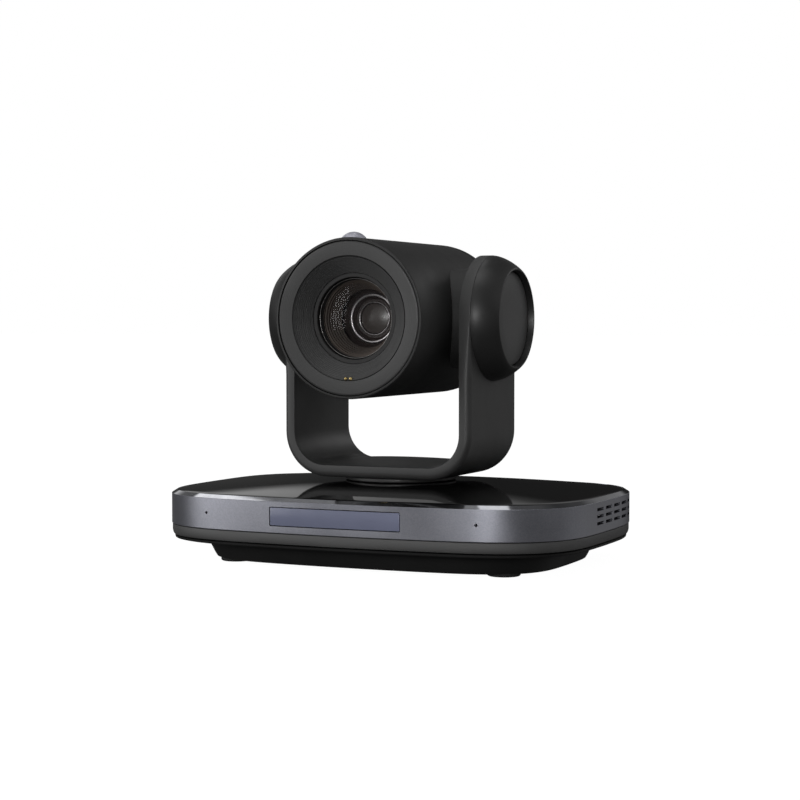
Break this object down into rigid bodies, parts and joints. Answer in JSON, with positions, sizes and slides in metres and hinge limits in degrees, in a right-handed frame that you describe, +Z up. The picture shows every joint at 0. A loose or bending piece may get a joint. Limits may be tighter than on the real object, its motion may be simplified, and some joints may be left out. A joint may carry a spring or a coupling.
{
  "type": "ptz camera",
  "caption": "Pan-tilt-zoom conference camera: wide low base with an infrared window, a panning U-shaped yoke and a tilting round camera head.",
  "frame": {"origin": "bottom centre of the base on the floor, on the pan axis", "axes": "+Z up along the pan axis, -Y out of the front of the base, +X to the right looking along +Y, along the tilt axis and the wide side of the base"},
  "size_m": [0.236, 0.1666, 0.1742],
  "materials": {
    "pedestal_plastic": "matte black moulded plastic",
    "skirt_plastic": "fine textured matte plastic",
    "band_metal": "satin metallic grey paint",
    "gloss_cover": "polished piano black",
    "ir_plastic": "smoked infrared window",
    "satin_shell": "satin black moulded shell",
    "rubber": "moulded rubber",
    "steel": "plain steel",
    "brass": "turned brass",
    "circuit_board": "solder mask",
    "aluminium": "extruded aluminium",
    "nylon": "natural nylon",
    "opal_plastic": "translucent opal",
    "lens_glass": "coated optical glass",
    "gold_contact": "gold finish"
  },
  "bodies": {
    "base": {"base_pan": "pedestal_plastic", "base_skirt": "skirt_plastic", "base_band": "band_metal", "top_cover": "gloss_cover", "ir_window": "ir_plastic", "ir_receiver": "pedestal_plastic", "main_board": "circuit_board", "heat_sink": "aluminium", "chassis_plate": "steel", "pan_motor": "steel", "pan_bearing": "steel", "tripod_insert": "brass", "rear_panel": "pedestal_plastic", "io_board": "circuit_board", "dc_jack": "pedestal_plastic", "lan_port": "steel", "hdmi_port": "steel", "usb_port": "steel", "serial_port": "pedestal_plastic", "microphone_left": "steel", "microphone_right": "steel", "foot_front_left": "rubber", "foot_front_right": "rubber", "foot_rear_left": "rubber", "foot_rear_right": "rubber", "base_screw_front_left": "steel", "base_screw_front_right": "steel", "base_screw_rear_left": "steel", "base_screw_rear_right": "steel"},
    "yoke": {"yoke_frame": "satin_shell", "pan_collar": "satin_shell", "pan_shaft": "steel", "pan_gear": "nylon", "hub_cover_left": "satin_shell", "hub_cover_right": "satin_shell", "hub_cap_left": "skirt_plastic", "hub_cap_right": "skirt_plastic", "tilt_pivot_left": "steel", "tilt_pivot_right": "steel", "tilt_gear": "nylon"},
    "head": {"head_shell": "satin_shell", "rear_cover": "satin_shell", "front_bezel": "skirt_plastic", "step_ring": "skirt_plastic", "lens_barrel": "pedestal_plastic", "lens_ring": "pedestal_plastic", "front_element": "lens_glass", "sensor_board": "circuit_board", "tilt_motor": "steel", "tally_dome": "opal_plastic", "tilt_bearing_left": "steel", "tilt_bearing_right": "steel", "status_point_left": "gold_contact", "status_point_right": "gold_contact"},
    "pan_pinion": {"pan_pinion": "brass"},
    "tilt_pinion": {"tilt_pinion": "brass"},
    "zoom_group": {"zoom_group": "pedestal_plastic"},
    "focus_group": {"focus_group": "pedestal_plastic"},
    "power_switch": {"power_switch": "pedestal_plastic"}
  },
  "joints": [
    {"name": "pan", "type": "hinge", "parent": "base", "child": "yoke", "pos_m": [0, 0, 0.0456], "axis": [0, 0, 1], "range_deg": [-170, 170]},
    {"name": "tilt", "type": "hinge", "parent": "yoke", "child": "head", "pos_m": [0, 0, 0.1299], "axis": [-1, 0, 0], "range_deg": [-30, 90]},
    {"name": "pan_pinion_spin", "type": "hinge", "parent": "base", "child": "pan_pinion", "pos_m": [-0.0285, 0.0285, 0.027], "axis": [0, 0, 1], "range_deg": [-1025, 1025]},
    {"name": "tilt_pinion_spin", "type": "hinge", "parent": "head", "child": "tilt_pinion", "pos_m": [0.02825, 0.0283, 0.1299], "axis": [-1, 0, 0], "range_deg": [-111, 331]},
    {"name": "zoom", "type": "slide", "parent": "head", "child": "zoom_group", "axis": [0, 1, 0], "range_m": [0, 0.014]},
    {"name": "focus", "type": "slide", "parent": "head", "child": "focus_group", "axis": [0, 1, 0], "range_m": [-0.003, 0.005]},
    {"name": "power_switch_rock", "type": "hinge", "parent": "base", "child": "power_switch", "pos_m": [-0.033, 0.0767, 0.0284], "axis": [1, 0, 0], "range_deg": [0, 12]}
  ],
  "couplings": [
    {"joint": "pan_pinion_spin", "follows": "pan", "ratio": -6},
    {"joint": "tilt_pinion_spin", "follows": "tilt", "ratio": 3.6667}
  ]
}
